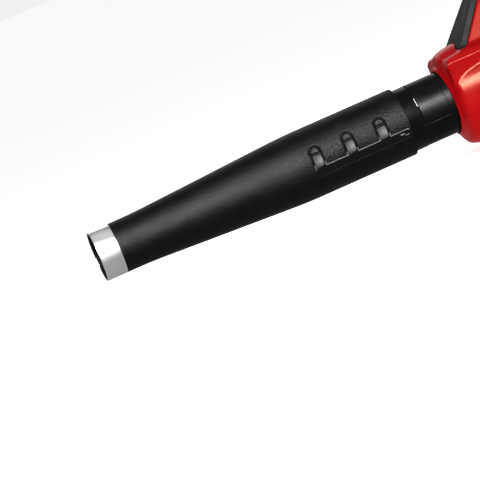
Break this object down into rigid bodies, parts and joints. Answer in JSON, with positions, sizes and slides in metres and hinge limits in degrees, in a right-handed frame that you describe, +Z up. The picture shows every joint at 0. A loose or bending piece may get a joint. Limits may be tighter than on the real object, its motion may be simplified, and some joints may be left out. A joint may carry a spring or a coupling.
{
  "type": "leaf blower",
  "caption": "Cordless axial leaf blower: round motor housing with a top handle and rear battery pack, and a telescopic black blow tube with an aluminium tip ring.",
  "frame": {"origin": "centre of the footprint of the whole blower, on the surface that its feet stand on", "axes": "+Z up; +X along the blow tube's axis from the nozzle's tip towards the battery, so air leaves towards -X; the lock channel is on the -Y side"},
  "size_m": [0.8704, 0.146, 0.2363],
  "materials": {
    "tube_black": "fine-grained black plastic",
    "ring_aluminium": "satin turned aluminium",
    "connector_black": "smooth black plastic",
    "seal_rubber": "matt black rubber",
    "housing_red": "semi-gloss red plastic, fine grain",
    "grip_rubber": "soft dark grey rubber",
    "trim_black": "fine-grained black plastic",
    "duct_black": "moulded dark grey plastic",
    "screw_steel": "blackened steel",
    "bright_steel": "bright steel",
    "can_steel": "drawn steel",
    "copper": "enamelled copper wire",
    "magnet_iron": "dark magnet with a clear coat",
    "control_red": "semi-gloss red plastic",
    "wire_blue": "soft insulation",
    "wire_red": "soft insulation",
    "wire_grey": "soft insulation",
    "board_green": "solder mask over woven board",
    "sink_aluminium": "extruded aluminium",
    "capacitor_sleeve": "shrunk sleeve",
    "contact_brass": "stamped brass",
    "cell_wrap": "shrunk wrap over a metal can",
    "holder_plastic": "moulded dark plastic",
    "light_window": "frosted window"
  },
  "bodies": {
    "blower": {"inner_tube": "connector_black", "outlet_spigot": "connector_black", "housing_left": "housing_red", "housing_right": "housing_red", "handle_cover": "grip_rubber", "housing_screws": "screw_steel", "foot_front": "seal_rubber", "foot_rear": "seal_rubber", "intake_grille": "trim_black", "inlet_bell": "duct_black", "fan_duct": "duct_black", "damper_front": "seal_rubber", "damper_rear": "seal_rubber", "stator": "duct_black", "tail_cone": "duct_black", "motor_can": "can_steel", "motor_windings": "copper", "motor_bearings": "bright_steel", "motor_screws": "screw_steel", "motor_leads": "wire_blue", "trigger_pin": "bright_steel", "trigger_spring": "bright_steel", "switch_module": "duct_black", "dial_axle": "bright_steel", "turbo_spring": "bright_steel", "control_board": "board_green", "heat_sink": "sink_aluminium", "board_capacitors": "capacitor_sleeve", "battery_leads": "wire_red", "switch_lead": "wire_grey", "terminal_block": "duct_black", "terminal_blades": "contact_brass"},
    "seal_ring": {"tube_seal": "seal_rubber"},
    "nozzle": {"nozzle_tube": "tube_black", "nozzle_ring": "ring_aluminium"},
    "trigger": {"trigger": "control_red"},
    "speed_dial": {"speed_dial": "trim_black"},
    "turbo_button": {"turbo_button": "control_red"},
    "fan": {"fan_rotor": "duct_black", "spinner": "duct_black", "fan_nut": "bright_steel", "motor_shaft": "bright_steel", "motor_magnet": "magnet_iron"},
    "battery": {"battery_case_upper": "trim_black", "battery_case_lower": "trim_black", "battery_cells": "cell_wrap", "cell_holder": "holder_plastic", "battery_board": "board_green", "battery_button_spring": "bright_steel", "battery_catch": "bright_steel", "gauge_button": "seal_rubber", "gauge_lights": "light_window", "battery_screws": "screw_steel"},
    "battery_button": {"battery_button": "control_red"}
  },
  "joints": [
    {"name": "nozzle_twist", "type": "hinge", "parent": "blower", "child": "seal_ring", "pos_m": [-0.13324, 0, 0.079], "axis": [1, 0, 0], "range_deg": [0, 35]},
    {"name": "nozzle_slide", "type": "slide", "parent": "seal_ring", "child": "nozzle", "axis": [-1, 0, 0], "range_m": [0, 0.093]},
    {"name": "trigger", "type": "hinge", "parent": "blower", "child": "trigger", "pos_m": [0.20974, 0, 0.208], "axis": [0, -1, 0], "range_deg": [0, 8], "stiffness_Nm_per_rad": 0.6, "springref_deg": -8.59, "deforming": ["trigger_spring"]},
    {"name": "speed_dial", "type": "hinge", "parent": "blower", "child": "speed_dial", "pos_m": [0.18974, 0, 0.221], "axis": [0, 1, 0], "range_deg": [0, 270]},
    {"name": "turbo_button", "type": "slide", "parent": "blower", "child": "turbo_button", "axis": [0, 0, -1], "range_m": [0, 0.0025], "stiffness_N_per_m": 500, "springref_m": -0.002, "deforming": ["turbo_spring"]},
    {"name": "fan_spin", "type": "hinge", "parent": "blower", "child": "fan", "pos_m": [0.22576, 0, 0.079], "axis": [1, 0, 0], "continuous": true},
    {"name": "battery_slide", "type": "slide", "parent": "blower", "child": "battery", "axis": [1, 0, 0], "range_m": [0, 0.12], "deforming": ["battery_catch"]},
    {"name": "battery_button", "type": "slide", "parent": "battery", "child": "battery_button", "axis": [-1, 0, 0], "range_m": [0, 0.003], "stiffness_N_per_m": 500, "springref_m": -0.002, "deforming": ["battery_button_spring"]}
  ]
}
